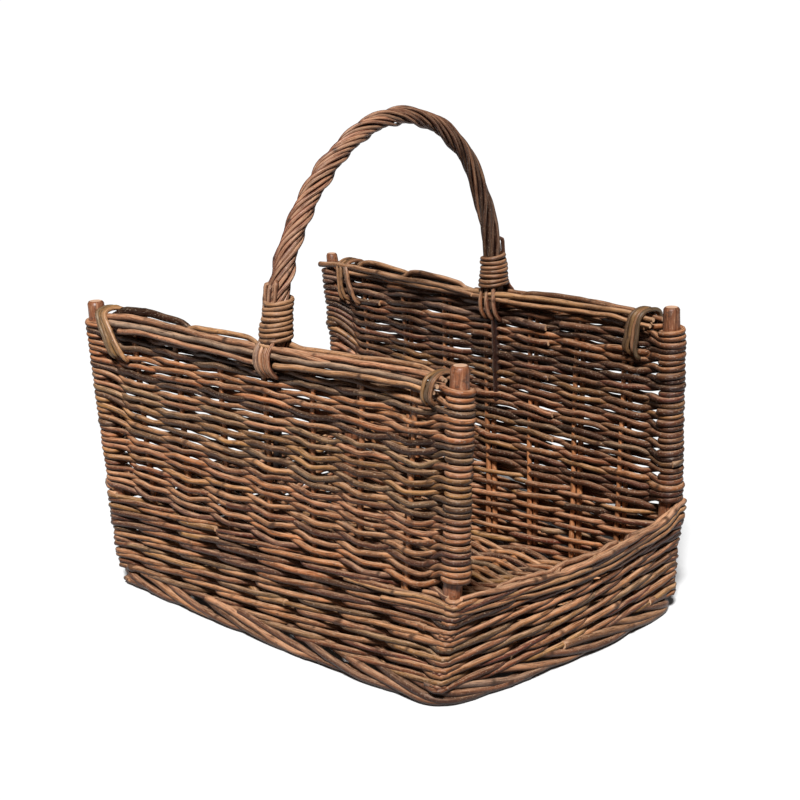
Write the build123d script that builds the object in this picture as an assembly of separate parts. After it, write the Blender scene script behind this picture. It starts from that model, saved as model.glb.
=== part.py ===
from build123d import *
import math
import os

# A willow log basket with two tall side panels, low front and back walls and one arched handle.
# Frame: +Z up, +X across the basket along the handle's span, +Y from front to back.
# The origin is on the floor under the middle of the basket. Sizes are millimetres.

# Corner posts. Each is a stick with one kink at the height of the low walls.
post_radius = 10.0
post_foot_z = 15.0
post_kink_z = 113.0
post_kink_radius = 40.0
front_foot = (177.0, -250.2)
back_foot = (177.0, 248.8)
front_kink = (174.0, -273.7)
back_kink = (186.0, 251.3)
front_top = (166.0, -276.7)
back_top = (186.0, 279.3)
front_top_z = 352.0
back_top_z = 339.0

# Weave of the tall panels: each course is one rod that goes round both posts.
rod_radius = 3.7
course_count = 26
first_course_z = 117.2
last_course_front_z = 326.0
last_course_back_z = 315.0
course_reach = post_radius + rod_radius + 0.9

# Stakes stand in pairs inside the weave.
stake_radius = 3.0
stake_gap = 0.6
stake_foot_z = 30.0
stake_top_z = 318.0
panel_stake_shares = [0.105 + 0.13 * number for number in range(7)]
wall_stake_places = [-116.0, -58.0, 0.0, 58.0, 116.0]
wall_stake_top_z = 103.5

# Low band: four closely woven walls, thicker than a stake by a rod on each side.
band_half_thickness = 13.0
band_foot_z = 11.0
side_band_top_z = post_kink_z
end_band_top_z = 105.0
fit_gap = 0.3

# Border rods along the low front and back walls.
border_radius = 3.9
border_end = 155.0

# Foot border: thick rods laid round the bottom edge, flat where they stand.
foot_height = 10.6
foot_depth = 24.0

# Rim of each tall panel.
rim_radius = 3.7
rim_front_z = 336.0
rim_back_z = 325.0
rim_filler_offset = 3.9
rim_layer = 7.7

# Willow ties over the rim beside each post.
tie_radius = 2.0
tie_offset = 22.4
tie_length = 44.0
tie_from_post = 27.0
tie_pitch = 4.4

# Base.
base_low_z = 12.0
base_high_z = 25.0
base_half_width = 162.5
base_front_y = -236.2
base_back_y = 234.8
base_stick_radius = 4.5
base_stick_count = 7

# Handle: a straight core in each panel, then an arch of three arcs, with its top right of the middle.
handle_y = -16.7
handle_x = 170.0
handle_spring_z = 335.0
handle_foot = (175.0, 190.0)
left_arc_radius = 230.0
left_arc_angle = 60.0
right_arc_angle = 27.5
handle_core_radius = 5.0
twist_radius = 11.5
twist_foot_z = 346.5

# Binding round each handle foot, and the strand ends that go down the panel.
binding_turns = 7
binding_first_z = 350.0
binding_pitch = 5.0
binding_radius = 2.3
tail_radius = 2.3
tail_low_z = 300.0
tail_high_z = 343.0
tail_spread = 7.0
tail_clearance = 1.6


def between(low, high, share):
    return low + (high - low) * share


def post_line(places, z):
    """Centre of a post at a height, from its kink and top or its foot and kink."""
    foot, kink, top, top_z = places
    if z >= post_kink_z:
        share = (z - post_kink_z) / (top_z - post_kink_z)
        return between(kink[0], top[0], share), between(kink[1], top[1], share)
    share = (z - post_foot_z) / (post_kink_z - post_foot_z)
    return between(foot[0], kink[0], share), between(foot[1], kink[1], share)


front_places = (front_foot, front_kink, front_top, front_top_z)
back_places = (back_foot, back_kink, back_top, back_top_z)


def point_on_post(places, side, z):
    x, y = post_line(places, z)
    return Vector(side * x, y, z)


def rod(start, end, radius):
    """A straight round rod between two points."""
    start = Vector(start)
    end = Vector(end)
    run = end - start
    return extrude(Plane(start, z_dir=run) * Circle(radius), run.length)


def tube_along(path, radius):
    start = path @ 0
    return sweep(Plane(start, z_dir=path % 0) * Circle(radius), path=path)


def solids_of(*shapes):
    found = []
    for shape in shapes:
        found += shape.solids()
    return Compound(children=found)


def post(places, side, radius):
    foot, kink, top, top_z = places
    path = FilletPolyline(
        (side * foot[0], foot[1], post_foot_z),
        (side * kink[0], kink[1], post_kink_z),
        (side * top[0], top[1], top_z),
        radius=post_kink_radius,
    )
    return tube_along(path, radius)


def course(start, end):
    """One weave rod: two straight runs joined by a half turn round each post."""
    run = end - start
    along = run.normalized()
    across = along.cross(Vector(0, 0, 1)).normalized()
    up = across.cross(along)
    pieces = []
    for sign in (1, -1):
        shift = across * (sign * course_reach)
        pieces.append(rod(start + shift, end + shift, rod_radius))
    for centre, turn in ((start, 1), (end, -1)):
        section = Plane(centre, x_dir=across, z_dir=along * -turn)
        ring = section * Pos(course_reach, 0) * Circle(rod_radius)
        axis = Axis(centre, up)
        pieces.append(revolve(ring, axis, -180 * turn))
    return pieces[0] + pieces[1] + pieces[2] + pieces[3]


def panel_weave(side):
    rods = []
    for number in range(course_count):
        share = number / (course_count - 1)
        front_z = between(first_course_z, last_course_front_z, share)
        back_z = between(first_course_z, last_course_back_z, share)
        start = point_on_post(front_places, side, front_z)
        end = point_on_post(back_places, side, back_z)
        rods.append(course(start, end))
    return solids_of(*rods)


def panel_stakes(side, radius):
    rods = []
    for share in panel_stake_shares:
        low = point_on_post(front_places, side, stake_foot_z)
        low += (point_on_post(back_places, side, stake_foot_z) - low) * share
        high = point_on_post(front_places, side, stake_top_z)
        high += (point_on_post(back_places, side, stake_top_z) - high) * share
        for sign in (1, -1):
            shift = Vector(0, sign * (stake_radius + stake_gap / 2), 0)
            rods.append(rod(low + shift, high + shift, radius))
    return rods


def wall_stakes(places, radius):
    rods = []
    for x in wall_stake_places:
        low_y = post_line(places, stake_foot_z)[1]
        high_y = post_line(places, wall_stake_top_z)[1]
        for sign in (1, -1):
            shifted = x + sign * (stake_radius + stake_gap / 2)
            rods.append(rod((shifted, low_y, stake_foot_z), (shifted, high_y, wall_stake_top_z), radius))
    return rods


def band_corners(places, z):
    """Outer and inner corner of the band beside a post, as distances from the middle."""
    x, y = post_line(places, z)
    outward = math.copysign(band_half_thickness, y)
    return (x + band_half_thickness, y + outward), (x - band_half_thickness, y - outward)


def side_band_wall(side):
    faces = []
    for z in (band_foot_z, side_band_top_z):
        front_outer, front_inner = band_corners(front_places, z)
        back_outer, back_inner = band_corners(back_places, z)
        outline = [
            (side * front_outer[0], front_outer[1] + fit_gap, z),
            (side * front_inner[0], front_inner[1] + fit_gap, z),
            (side * back_inner[0], back_inner[1] - fit_gap, z),
            (side * back_outer[0], back_outer[1] - fit_gap, z),
        ]
        faces.append(make_face(Polyline(*outline, close=True)))
    wall = loft(faces, ruled=True)
    for places in (front_places, back_places):
        wall -= post(places, side, post_radius + fit_gap)
    for hole in panel_stakes(side, stake_radius + fit_gap / 2):
        wall -= hole
    return solids_of(wall)


def end_band_wall(places):
    faces = []
    for z in (band_foot_z, end_band_top_z):
        outer, inner = band_corners(places, z)
        outline = [
            (-outer[0], outer[1], z),
            (outer[0], outer[1], z),
            (inner[0], inner[1], z),
            (-inner[0], inner[1], z),
        ]
        faces.append(make_face(Polyline(*outline, close=True)))
    wall = loft(faces, ruled=True)
    for side in (1, -1):
        wall -= post(places, side, post_radius + fit_gap)
    for hole in wall_stakes(places, stake_radius + fit_gap / 2):
        wall -= hole
    return solids_of(wall)


def border_rods(places):
    y = post_line(places, end_band_top_z)[1]
    low_z = end_band_top_z + border_radius + fit_gap
    high_z = low_z + 2 * border_radius - 1.0
    spots = [(-border_radius - 0.2, low_z), (border_radius + 0.2, low_z), (0.0, high_z + fit_gap)]
    rods = []
    for shift, z in spots:
        rods.append(rod((-border_end, y + shift, z), (border_end, y + shift, z), border_radius))
    return solids_of(*rods)


def foot_bar(x, y, length, width):
    """A foot border rod with rounded upper edges and a flat underside."""
    bar = Pos(x, y, foot_height / 2) * Box(length, width, foot_height)
    return solids_of(fillet(bar.edges().group_by(Axis.Z)[-1], 3.0))


def end_foot_border(places):
    x, y = post_line(places, post_foot_z)
    return foot_bar(0, y, 2 * x + foot_depth, foot_depth)


def side_foot_border(side):
    x, front_y = post_line(front_places, post_foot_z)
    back_y = post_line(back_places, post_foot_z)[1]
    length = back_y - front_y - foot_depth - 2 * fit_gap
    return foot_bar(side * x, (front_y + back_y) / 2, foot_depth, length)


def rim_point(side, share):
    """Middle of the rim bundle at a share of the way from the front post to the back post."""
    z = between(rim_front_z, rim_back_z, share)
    front = point_on_post(front_places, side, z)
    return front + (point_on_post(back_places, side, z) - front) * share


def rim_rods(side):
    start_share = 0.025
    end_share = 0.975
    start = rim_point(side, start_share)
    end = rim_point(side, end_share)
    rods = []
    for sign in (1, -1):
        for layer in (0, 1):
            shift = Vector(sign * course_reach, 0, (layer - 0.25) * rim_layer)
            rods.append(rod(start + shift, end + shift, rim_radius))
    leg_share = (handle_y - start.Y) / (end.Y - start.Y)
    clear_share = (twist_radius + 5.0) / (end.Y - start.Y)
    before_leg = start + (end - start) * (leg_share - clear_share)
    after_leg = start + (end - start) * (leg_share + clear_share)
    for low, high in ((start, before_leg), (after_leg, end)):
        for sign in (1, -1):
            shift = Vector(sign * rim_filler_offset, 0, rim_layer * 0.75)
            rods.append(rod(low + shift, high + shift, rim_radius))
    return solids_of(*rods)


def tie(places, side, clearance):
    """Thin rods bent over the rim, with a leg down each face of the panel."""
    x, y = post_line(places, rim_front_z)
    inward = -math.copysign(1, y)
    strands = []
    for number in range(3):
        strand_y = y + inward * (tie_from_post + number * tie_pitch)
        share = (strand_y - front_top[1]) / (back_top[1] - front_top[1])
        middle = rim_point(side, share)
        top_z = middle.Z + rim_layer * 0.75 + rim_radius + tie_radius + clearance
        path = FilletPolyline(
            (middle.X - tie_offset, strand_y, top_z - tie_length),
            (middle.X - tie_offset, strand_y, top_z),
            (middle.X + tie_offset, strand_y, top_z),
            (middle.X + tie_offset, strand_y, top_z - tie_length),
            radius=4.5,
        )
        strands.append(tube_along(path, tie_radius))
    return solids_of(*strands)


def arch_radii():
    """Radii of the crown and of the right arc, which make the arch end level with its start."""
    left = math.radians(left_arc_angle)
    right = math.radians(right_arc_angle)
    half_tangent = math.tan(right / 2)
    left_width = left_arc_radius * (1 - math.cos(left))
    left_height = left_arc_radius * math.sin(left)
    sine_gap = math.sin(left) - math.sin(right)
    width_left = 2 * handle_x - left_width - half_tangent * left_height
    crown = width_left / (math.cos(left) + math.cos(right) - half_tangent * sine_gap)
    return crown, (left_height - crown * sine_gap) / math.sin(right)


crown_radius, right_arc_radius = arch_radii()


def arch_edges():
    """The arch as a left arc, a crown arc and a right arc, each tangent to the next."""
    spring = Vector(-handle_x, handle_y, handle_spring_z)
    upright = Plane(spring, x_dir=(1, 0, 0), z_dir=(0, -1, 0))
    crown_angle = 180 - left_arc_angle - right_arc_angle
    rise = JernArc((0, 0), (0, 1), left_arc_radius, -left_arc_angle)
    crown = JernArc(rise @ 1, rise % 1, crown_radius, -crown_angle)
    fall = JernArc(crown @ 1, crown % 1, right_arc_radius, -right_arc_angle)
    return [edge for piece in (rise, crown, fall) for edge in (upright * piece).edges()]


def handle_core():
    foot_x, foot_z = handle_foot
    bend_z = handle_spring_z - 12.0
    left_leg = FilletPolyline(
        (-foot_x, handle_y, foot_z),
        (-handle_x, handle_y, bend_z),
        (-handle_x, handle_y, handle_spring_z),
        radius=100,
    )
    right_leg = FilletPolyline(
        (handle_x, handle_y, handle_spring_z),
        (handle_x, handle_y, bend_z),
        (foot_x, handle_y, foot_z),
        radius=100,
    )
    path = Wire(left_leg.edges() + arch_edges() + right_leg.edges())
    return solids_of(tube_along(path, handle_core_radius))


def handle_twist():
    """The twisted strands, as one sleeve of their outer shape round the core."""
    path = Wire(arch_edges())
    section = Plane(path @ 0, z_dir=path % 0)
    ring = section * (Circle(twist_radius) - Circle(handle_core_radius + fit_gap))
    sleeve = sweep(ring, path=path)
    below = Pos(0, handle_y, twist_foot_z / 2) * Box(500, 60, twist_foot_z)
    return solids_of(sleeve - below)


def leg_place(side, z):
    """Centre and direction of the handle's leg at a height just above the rim."""
    radius = left_arc_radius if side < 0 else right_arc_radius
    turn = math.asin((z - handle_spring_z) / radius)
    x = handle_x - radius * (1 - math.cos(turn))
    return Vector(side * x, handle_y, z), Vector(-side * math.sin(turn), 0, math.cos(turn))


def handle_binding(side):
    rings = []
    reach = twist_radius + binding_radius + fit_gap
    for number in range(binding_turns):
        centre, direction = leg_place(side, binding_first_z + number * binding_pitch)
        rings.append(Plane(centre, z_dir=direction) * Torus(reach, binding_radius))
    return solids_of(*rings)


def handle_tails(side):
    share = (handle_y - front_top[1]) / (back_top[1] - front_top[1])
    middle = rim_point(side, share)
    x = middle.X + side * (course_reach + rod_radius + tail_radius + tail_clearance)
    strands = []
    for sign in (1, 0, -1):
        low = (x, handle_y + sign * tail_spread * 0.8, tail_low_z)
        high = (x, handle_y + sign * tail_spread, tail_high_z)
        strands.append(rod(low, high, tail_radius))
    return solids_of(*strands)


def base_stick_places():
    step = (base_back_y - base_front_y) / base_stick_count
    return [base_front_y + step * (number + 0.5) for number in range(base_stick_count)]


def base_sticks(radius, reach):
    middle_z = (base_low_z + base_high_z) / 2
    return [rod((-reach, y, middle_z), (reach, y, middle_z), radius) for y in base_stick_places()]


def base_weave():
    middle_y = (base_front_y + base_back_y) / 2
    middle_z = (base_low_z + base_high_z) / 2
    mat = Pos(0, middle_y, middle_z) * Box(
        2 * base_half_width, base_back_y - base_front_y, base_high_z - base_low_z
    )
    for hole in base_sticks(base_stick_radius + fit_gap, base_half_width + 5):
        mat -= hole
    return solids_of(mat)


def build_nodes():
    sides = (("left", -1), ("right", 1))
    nodes = {
        "base_sticks": solids_of(*base_sticks(base_stick_radius, base_half_width)),
        "base_weave": base_weave(),
        "handle_core": handle_core(),
        "handle_twist": handle_twist(),
    }
    for end, places in (("front", front_places), ("back", back_places)):
        nodes[f"{end}_foot_border"] = end_foot_border(places)
        nodes[f"{end}_band_wall"] = end_band_wall(places)
        nodes[f"{end}_wall_stakes"] = solids_of(*wall_stakes(places, stake_radius))
        nodes[f"{end}_border_rods"] = border_rods(places)
        for name, side in sides:
            nodes[f"{end}_{name}_post"] = solids_of(post(places, side, post_radius))
            nodes[f"{end}_{name}_tie"] = tie(places, side, fit_gap)
    for name, side in sides:
        nodes[f"{name}_foot_border"] = side_foot_border(side)
        nodes[f"{name}_band_wall"] = side_band_wall(side)
        nodes[f"{name}_panel_stakes"] = solids_of(*panel_stakes(side, stake_radius))
        nodes[f"{name}_panel_weave"] = panel_weave(side)
        nodes[f"{name}_rim_rods"] = rim_rods(side)
        nodes[f"{name}_handle_binding"] = handle_binding(side)
        nodes[f"{name}_handle_tails"] = handle_tails(side)
    return nodes


os.makedirs("parts", exist_ok=True)
for node_name, shape in build_nodes().items():
    export_step(shape, f"parts/{node_name}.step")
    box = shape.bounding_box()
    print(node_name, len(shape.solids()), "solids", box.min, box.max)
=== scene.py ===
import math
import bpy
import numpy as np
from mathutils import Matrix, Vector


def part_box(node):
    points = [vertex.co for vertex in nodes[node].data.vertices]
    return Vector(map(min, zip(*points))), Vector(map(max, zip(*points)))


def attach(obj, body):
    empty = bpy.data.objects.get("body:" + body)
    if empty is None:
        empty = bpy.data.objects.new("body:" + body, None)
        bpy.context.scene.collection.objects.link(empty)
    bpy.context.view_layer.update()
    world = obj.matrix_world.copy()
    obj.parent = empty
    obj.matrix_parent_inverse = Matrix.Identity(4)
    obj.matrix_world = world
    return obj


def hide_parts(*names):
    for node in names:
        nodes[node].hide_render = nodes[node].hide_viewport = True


# A willow log basket, rod by rod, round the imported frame.
# Metres, +Z up, +Y from the front wall to the back wall, +X from the left panel to the right panel.

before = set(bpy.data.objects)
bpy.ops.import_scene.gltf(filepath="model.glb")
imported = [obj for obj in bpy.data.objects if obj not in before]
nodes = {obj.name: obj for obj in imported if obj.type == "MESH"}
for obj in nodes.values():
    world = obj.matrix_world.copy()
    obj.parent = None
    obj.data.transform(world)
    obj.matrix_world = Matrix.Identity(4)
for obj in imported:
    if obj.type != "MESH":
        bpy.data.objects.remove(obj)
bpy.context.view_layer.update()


# Reading the frame: posts, stakes and the band's top.

def nodePoints(name):
    mesh = nodes[name].data
    points = np.empty(len(mesh.vertices) * 3)
    mesh.vertices.foreach_get("co", points)
    return points.reshape(-1, 3)


def middleOf(points, low, high):
    # middle of the box round the points between two heights
    part = points[(points[:, 2] >= low) & (points[:, 2] <= high)]
    return (part.min(0) + part.max(0)) / 2


def postAxis(name, kinkZ):
    # foot, kink and top of a post's centre line
    points = nodePoints(name)
    low, high = points[:, 2].min(), points[:, 2].max()
    foot = middleOf(points, low, low + 0.006)
    kink = middleOf(points, kinkZ - 0.012, kinkZ + 0.012)
    kink[2] = kinkZ
    top = middleOf(points, high - 0.004, high)
    return np.array([foot, kink, top])


def onPost(axis, z):
    # a post's centre at heights z, by straight lines between its foot, kink and top
    z = np.asarray(z, float)
    return np.stack([np.interp(z, axis[:, 2], axis[:, k]) for k in (0, 1)] + [z], -1)


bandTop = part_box("left_band_wall")[1].z
corners = ("front_left", "back_left", "back_right", "front_right")
posts = {corner: postAxis(corner + "_post", bandTop) for corner in corners}
postRadius = 0.0101
panels = {
    "left": (-1, posts["front_left"], posts["back_left"]),
    "right": (1, posts["front_right"], posts["back_right"]),
}


def stakeShares(name, axisA, axisB, along, halfPair=0.0063):
    # where the stake pairs stand, as shares of the way from one post to the next
    points = nodePoints(name)
    z = points[:, 2].max()
    top = points[points[:, 2] > z - 0.001]
    count = 7 if along == 1 else 5
    first, last = top[:, along].min() + halfPair, top[:, along].max() - halfPair
    a, b = onPost(axisA, z)[along], onPost(axisB, z)[along]
    return (np.linspace(first, last, count) - a) / (b - a)


panelShares = stakeShares("left_panel_stakes", posts["front_left"], posts["back_left"], 1)
wallShares = stakeShares("front_wall_stakes", posts["front_left"], posts["front_right"], 0)
print("frame read: posts and stakes")


# Lines and paths.

def unit(v):
    return v / np.linalg.norm(v, axis=-1, keepdims=True)


def smooth(x):
    # 0 to 1 with level ends: 3x^2 - 2x^3
    x = np.clip(x, 0, 1)
    return x * x * (3 - 2 * x)


def distance(path):
    return np.concatenate([[0], np.cumsum(np.linalg.norm(np.diff(path, axis=0), axis=1))])


def evenly(path, step):
    # the same line with points a step apart
    along = distance(path)
    count = max(int(round(along[-1] / step)), 2) + 1
    places = np.linspace(0, along[-1], count)
    return np.stack([np.interp(places, along, path[:, k]) for k in range(path.shape[1])], -1)


def rounded(points, step, rounds=4):
    # corners cut again and again at a quarter and three quarters of each run, ends kept
    points = np.asarray(points, float)
    for _ in range(rounds):
        early = points[:-1] * 0.75 + points[1:] * 0.25
        late = points[:-1] * 0.25 + points[1:] * 0.75
        inner = np.stack([early, late], 1).reshape(-1, points.shape[1])
        points = np.concatenate([points[:1], inner, points[-1:]])
    return evenly(points, step)


def wander(rng, along, size, longest=0.2):
    # smooth drift: five sines, each shorter and weaker than the last, with random starts
    order = 1 + np.arange(5)
    starts = rng.uniform(0, 2 * math.pi, 5)
    waves = np.sin(np.asarray(along)[..., None] * 2 * math.pi * order / longest + starts)
    return size * (waves / order).sum(-1) / 1.4


# Rods: every part is made of tapering tubes with knots and cut ends.

def rod(rng, path, width, tone, lean=(0, 0, 1), sides=8, knotEvery=0.11, cut=(1, 1), shadeAndTone=0.0):
    # a tube: each ring is the path plus half the width times (cos a across + sin a up),
    # swollen at its knots; the last ring at each end is a small bevel, closed by a pole
    path = np.asarray(path, float)
    along = distance(path)
    tangent = unit(np.gradient(path, axis=0))
    across = unit(np.cross(tangent, np.asarray(lean, float)))
    up = np.cross(across, tangent)
    radius = np.broadcast_to(np.asarray(width, float) / 2, along.shape).copy()
    # shadeAndTone lightens or darkens the bark ring by ring, for painted light and painted shade and for
    # the handle's darker right leg
    shadeAndTone = np.broadcast_to(np.asarray(shadeAndTone, float), along.shape)
    shadeAndTone = np.repeat(np.concatenate([shadeAndTone[:1], shadeAndTone, shadeAndTone[-1:]]), sides)
    path = np.concatenate([path[:1] - tangent[:1] * 0.0005, path, path[-1:] + tangent[-1:] * 0.0005])
    across, up = (np.concatenate([v[:1], v, v[-1:]]) for v in (across, up))
    radius = np.concatenate([radius[:1] * 0.86, radius, radius[-1:] * 0.86])
    along = np.concatenate([along[:1] - 0.0005, along, along[-1:] + 0.0005])
    angles = np.arange(sides) * 2 * math.pi / sides
    knots = rng.uniform(0, along[-1], rng.poisson(along[-1] / knotEvery) + 1)
    facing = rng.uniform(0, 2 * math.pi, len(knots))
    near = np.exp(-((along[:, None] - knots) / 0.0032) ** 2)
    swell = near @ (0.5 + 0.5 * np.cos(angles[None, :] - facing[:, None]))
    oval = 1 + rng.uniform(-0.06, 0.06) * np.cos(2 * angles + rng.uniform(0, 6))
    reach = radius[:, None] * (1 + 0.22 * swell) * oval
    ring = np.cos(angles)[:, None] * across[:, None, :] + np.sin(angles)[:, None] * up[:, None, :]
    points = path[:, None, :] + reach[..., None] * ring
    rows = len(along)
    space = np.empty((rows, sides, 3))
    space[..., 0] = np.cos(angles)
    space[..., 1] = np.sin(angles)
    space[..., 2] = along[:, None] + rng.uniform(0, 40)
    poles = np.stack([path[0], path[-1]])
    poleSpace = np.array([[0, 0, space[0, 0, 2]], [0, 0, space[-1, 0, 2]]])
    return {
        "points": np.concatenate([points.reshape(-1, 3), poles]),
        "space": np.concatenate([space.reshape(-1, 3), poleSpace]),
        "knot": np.concatenate([swell.ravel(), [0, 0]]),
        "tone": tone,
        "shadeAndTone": np.concatenate([shadeAndTone, shadeAndTone[:1], shadeAndTone[-1:]]),
        "rows": rows,
        "sides": sides,
        "cut": cut,
    }


def rodFaces(rows, sides, start):
    # four-sided faces between rings, and a fan from each end ring to its pole
    ring = np.arange(rows * sides).reshape(rows, sides) + start
    turned = np.roll(ring, -1, axis=1)
    quads = np.stack([ring[:-1], ring[1:], turned[1:], turned[:-1]], -1).reshape(-1, 4)
    poles = start + rows * sides + np.arange(2)
    low = np.stack([ring[0], turned[0], np.full(sides, poles[0])], -1)
    high = np.stack([turned[-1], ring[-1], np.full(sides, poles[1])], -1)
    return quads, np.concatenate([low, high])


def newPiece(name, rods, slotName, replaced, finish=None):
    # joins the rods of one piece into a mesh and places it on the body;
    # the material is the slot's own, unless another finish is named
    quads, fans, start = [], [], 0
    for item in rods:
        four, three = rodFaces(item["rows"], item["sides"], start)
        quads.append(four)
        fans.append(three)
        start += len(item["points"])
    quads, fans = np.concatenate(quads), np.concatenate(fans)
    points = np.concatenate([item["points"] for item in rods])
    cuts = np.concatenate([np.repeat(np.asarray(item["cut"], float), item["sides"]) for item in rods])
    mesh = bpy.data.meshes.new(name)
    mesh.vertices.add(len(points))
    mesh.vertices.foreach_set("co", points.ravel())
    loops = np.concatenate([quads.ravel(), fans.ravel()])
    mesh.loops.add(len(loops))
    mesh.loops.foreach_set("vertex_index", loops)
    starts = np.concatenate([np.arange(len(quads)) * 4, len(quads) * 4 + np.arange(len(fans)) * 3])
    mesh.polygons.add(len(starts))
    mesh.polygons.foreach_set("loop_start", starts)
    mesh.polygons.foreach_set("use_smooth", np.arange(len(starts)) < len(quads))
    mesh.update(calc_edges=True)
    mesh.validate()
    tones = np.concatenate([np.tile([*item["tone"], 1.0], (len(item["points"]), 1)) for item in rods])
    tones[:, 1] = np.clip(tones[:, 1] + np.concatenate([item["shadeAndTone"] for item in rods]), 0, 1)
    space = np.concatenate([item["space"] for item in rods])
    knots = np.concatenate([item["knot"] for item in rods])
    mesh.attributes.new("rodSpace", "FLOAT_VECTOR", "POINT").data.foreach_set("vector", space.ravel())
    mesh.attributes.new("rodTone", "FLOAT_COLOR", "POINT").data.foreach_set("color", tones.ravel())
    mesh.attributes.new("knot", "FLOAT", "POINT").data.foreach_set("value", knots)
    ends = np.concatenate([np.zeros(len(quads)), cuts])
    mesh.attributes.new("cutEnd", "FLOAT", "FACE").data.foreach_set("value", ends)
    piece = bpy.data.objects.new(name, mesh)
    bpy.context.scene.collection.objects.link(piece)
    mesh.materials.append(materials[finish or slotName])
    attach(piece, "root")
    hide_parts(*replaced)
    return piece


# Each kind of bark: where it is on the colour ramp, how light it is, how weathered it is.
barkKinds = {
    "tan": (0.05, 0.62, 0.15),
    "ochre": (0.20, 0.60, 0.15),
    "pink": (0.34, 0.66, 0.25),
    "brown": (0.47, 0.50, 0.10),
    "olive": (0.60, 0.52, 0.30),
    "grey": (0.72, 0.58, 0.55),
    "maroon": (0.84, 0.44, 0.05),
    "charcoal": (0.97, 0.24, 0.10),
    "stake": (0.07, 0.95, 0.05),
    "pale": (0.30, 0.86, 0.45),
}
barkMixes = {
    "panel": {
        "tan": 10, "ochre": 7, "pink": 7, "brown": 5, "olive": 3, "pale": 5, "maroon": 4, "charcoal": 1,
    },
    # darker and redder than the near panel's mix: painted shade for the far panel's shaded inner face
    "far": {"tan": 8, "ochre": 4, "pink": 3, "brown": 8, "maroon": 8, "olive": 1, "charcoal": 1},
    "dark": {"charcoal": 6, "olive": 1, "grey": 1},
    "band": {
        "tan": 10, "ochre": 8, "pink": 6, "brown": 7, "olive": 3, "pale": 4, "maroon": 4, "charcoal": 2,
    },
    "border": {"tan": 2, "ochre": 1, "pink": 3, "pale": 8, "grey": 1},
    "foot": {"tan": 5, "pink": 6, "brown": 5, "pale": 3, "grey": 2, "maroon": 2},
    "stake": {"stake": 1},
    "tie": {"olive": 5, "ochre": 4, "pale": 4},
    "handle": {"brown": 5, "maroon": 6, "pink": 6, "grey": 1, "tan": 1},
}


def pickTone(rng, mix):
    names = list(barkMixes[mix])
    odds = np.array([barkMixes[mix][name] for name in names], float)
    place, light, worn = barkKinds[names[rng.choice(len(names), p=odds / odds.sum())]]
    return (
        float(np.clip(place + rng.uniform(-0.05, 0.05), 0, 1)),
        float(np.clip(light + rng.uniform(-0.22, 0.22), 0, 1)),
        float(np.clip(worn + rng.uniform(-0.2, 0.2), 0, 1)),
    )


def cutIntoRods(rng, path, side, look, mix):
    # one long woven line, cut into tapering rods whose ends overlap;
    # side is how far each point is from the wall's middle, so that most ends are on its inner face
    step = look["step"]
    overlap = int(look["overlap"] / step)
    rods, place = [], 0
    while place < len(path) - overlap:
        count = int(rng.uniform(*look["rodLength"]) / step)
        end = min(place + count, len(path) - 1)
        if end < len(path) - 1:
            wanted = 1 if rng.random() < look["outerEnds"] else -1
            window = np.arange(max(end - 16, place + 20), min(end + 16, len(path)))
            end = int(window[np.argmax(wanted * side[window])])
        first, last = max(place - overlap, 0), min(end + overlap, len(path) - 1)
        line = path[first:last + 1].copy()
        share = np.linspace(0, 1, len(line))
        butt, tip = look["widths"]
        width = (butt + (tip - butt) * share ** 0.8) * rng.uniform(0.92, 1.06)
        width *= 0.72 + 0.28 * smooth((1 - share) * len(line) * step / 0.05)
        inward = smooth(1 - share * len(line) * step / 0.05) * look["tuck"]
        line -= look["outward"](line) * inward[:, None]
        isDark = any(abs(line[:, 2].mean() - z) < half for z, half in look["darkBelts"])
        tone = pickTone(rng, "dark" if isDark else mix)
        rods.append(rod(rng, line, width, tone, sides=look["sides"], shadeAndTone=look["shadeAndTone"]))
        place = end
    return rods


# Tall side panels.

panelLook = {
    "rows": 41,
    "lowest": 0.1158,
    "frontTop": 0.3290,
    "backTop": 0.3180,
    "postReach": 0.0123,
    "stakeReach": 0.0060,
    "openZ": 0.084,
    "openY": 0.28,
    "openSlope": 0.40,
    "openFade": 0.030,
    "dip": 0.0021,
    # the far (right) panel is painted darker, painted shade on its inner face; the near (left) panel a
    # little lighter, painted light
    "paintedShadeBySide": {"left": 0.04, "right": -0.18},
    "thicker": {"left": 1.0, "right": 1.10},
    "flatDip": {"left": -0.0018, "right": 0.0018},
    "turnRun": 0.044,
    "knuckleLow": {"front": 0.1330, "back": 0.1245},
    "doubled": 0.48,
    "step": 0.0052,
    "overlap": 0.028,
    "rodLength": (0.62, 1.05),
    "outerEnds": 0.22,
    "widths": (0.0072, 0.0056),
    "darkBelts": ((0.302, 0.0045), (0.264, 0.0045), (0.186, 0.0022)),
    "tuck": 0.0035,
    "sides": 8,
}


def panelFrame(name, z):
    # along, from the front post to the back post, and outwards, both level
    side, front, back = panels[name]
    along = onPost(back, z) - onPost(front, z)
    along[..., 2] = 0
    along = unit(along)
    outward = side * np.stack([along[..., 1], -along[..., 0], np.zeros_like(along[..., 0])], -1)
    return along, outward


def knuckleSlots(rng, turns, low, high, doubled):
    # heights of the turns round one post, where some rods go round it once more
    extra = np.zeros(turns, int)
    extra[rng.permutation(turns)[:int(turns * doubled)]] = 1
    index = np.cumsum(1 + extra) - (1 + extra)
    total = int((1 + extra).sum())
    pitch = (high - low) / total
    return low + (index + 0.5) * pitch, extra, pitch


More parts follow.
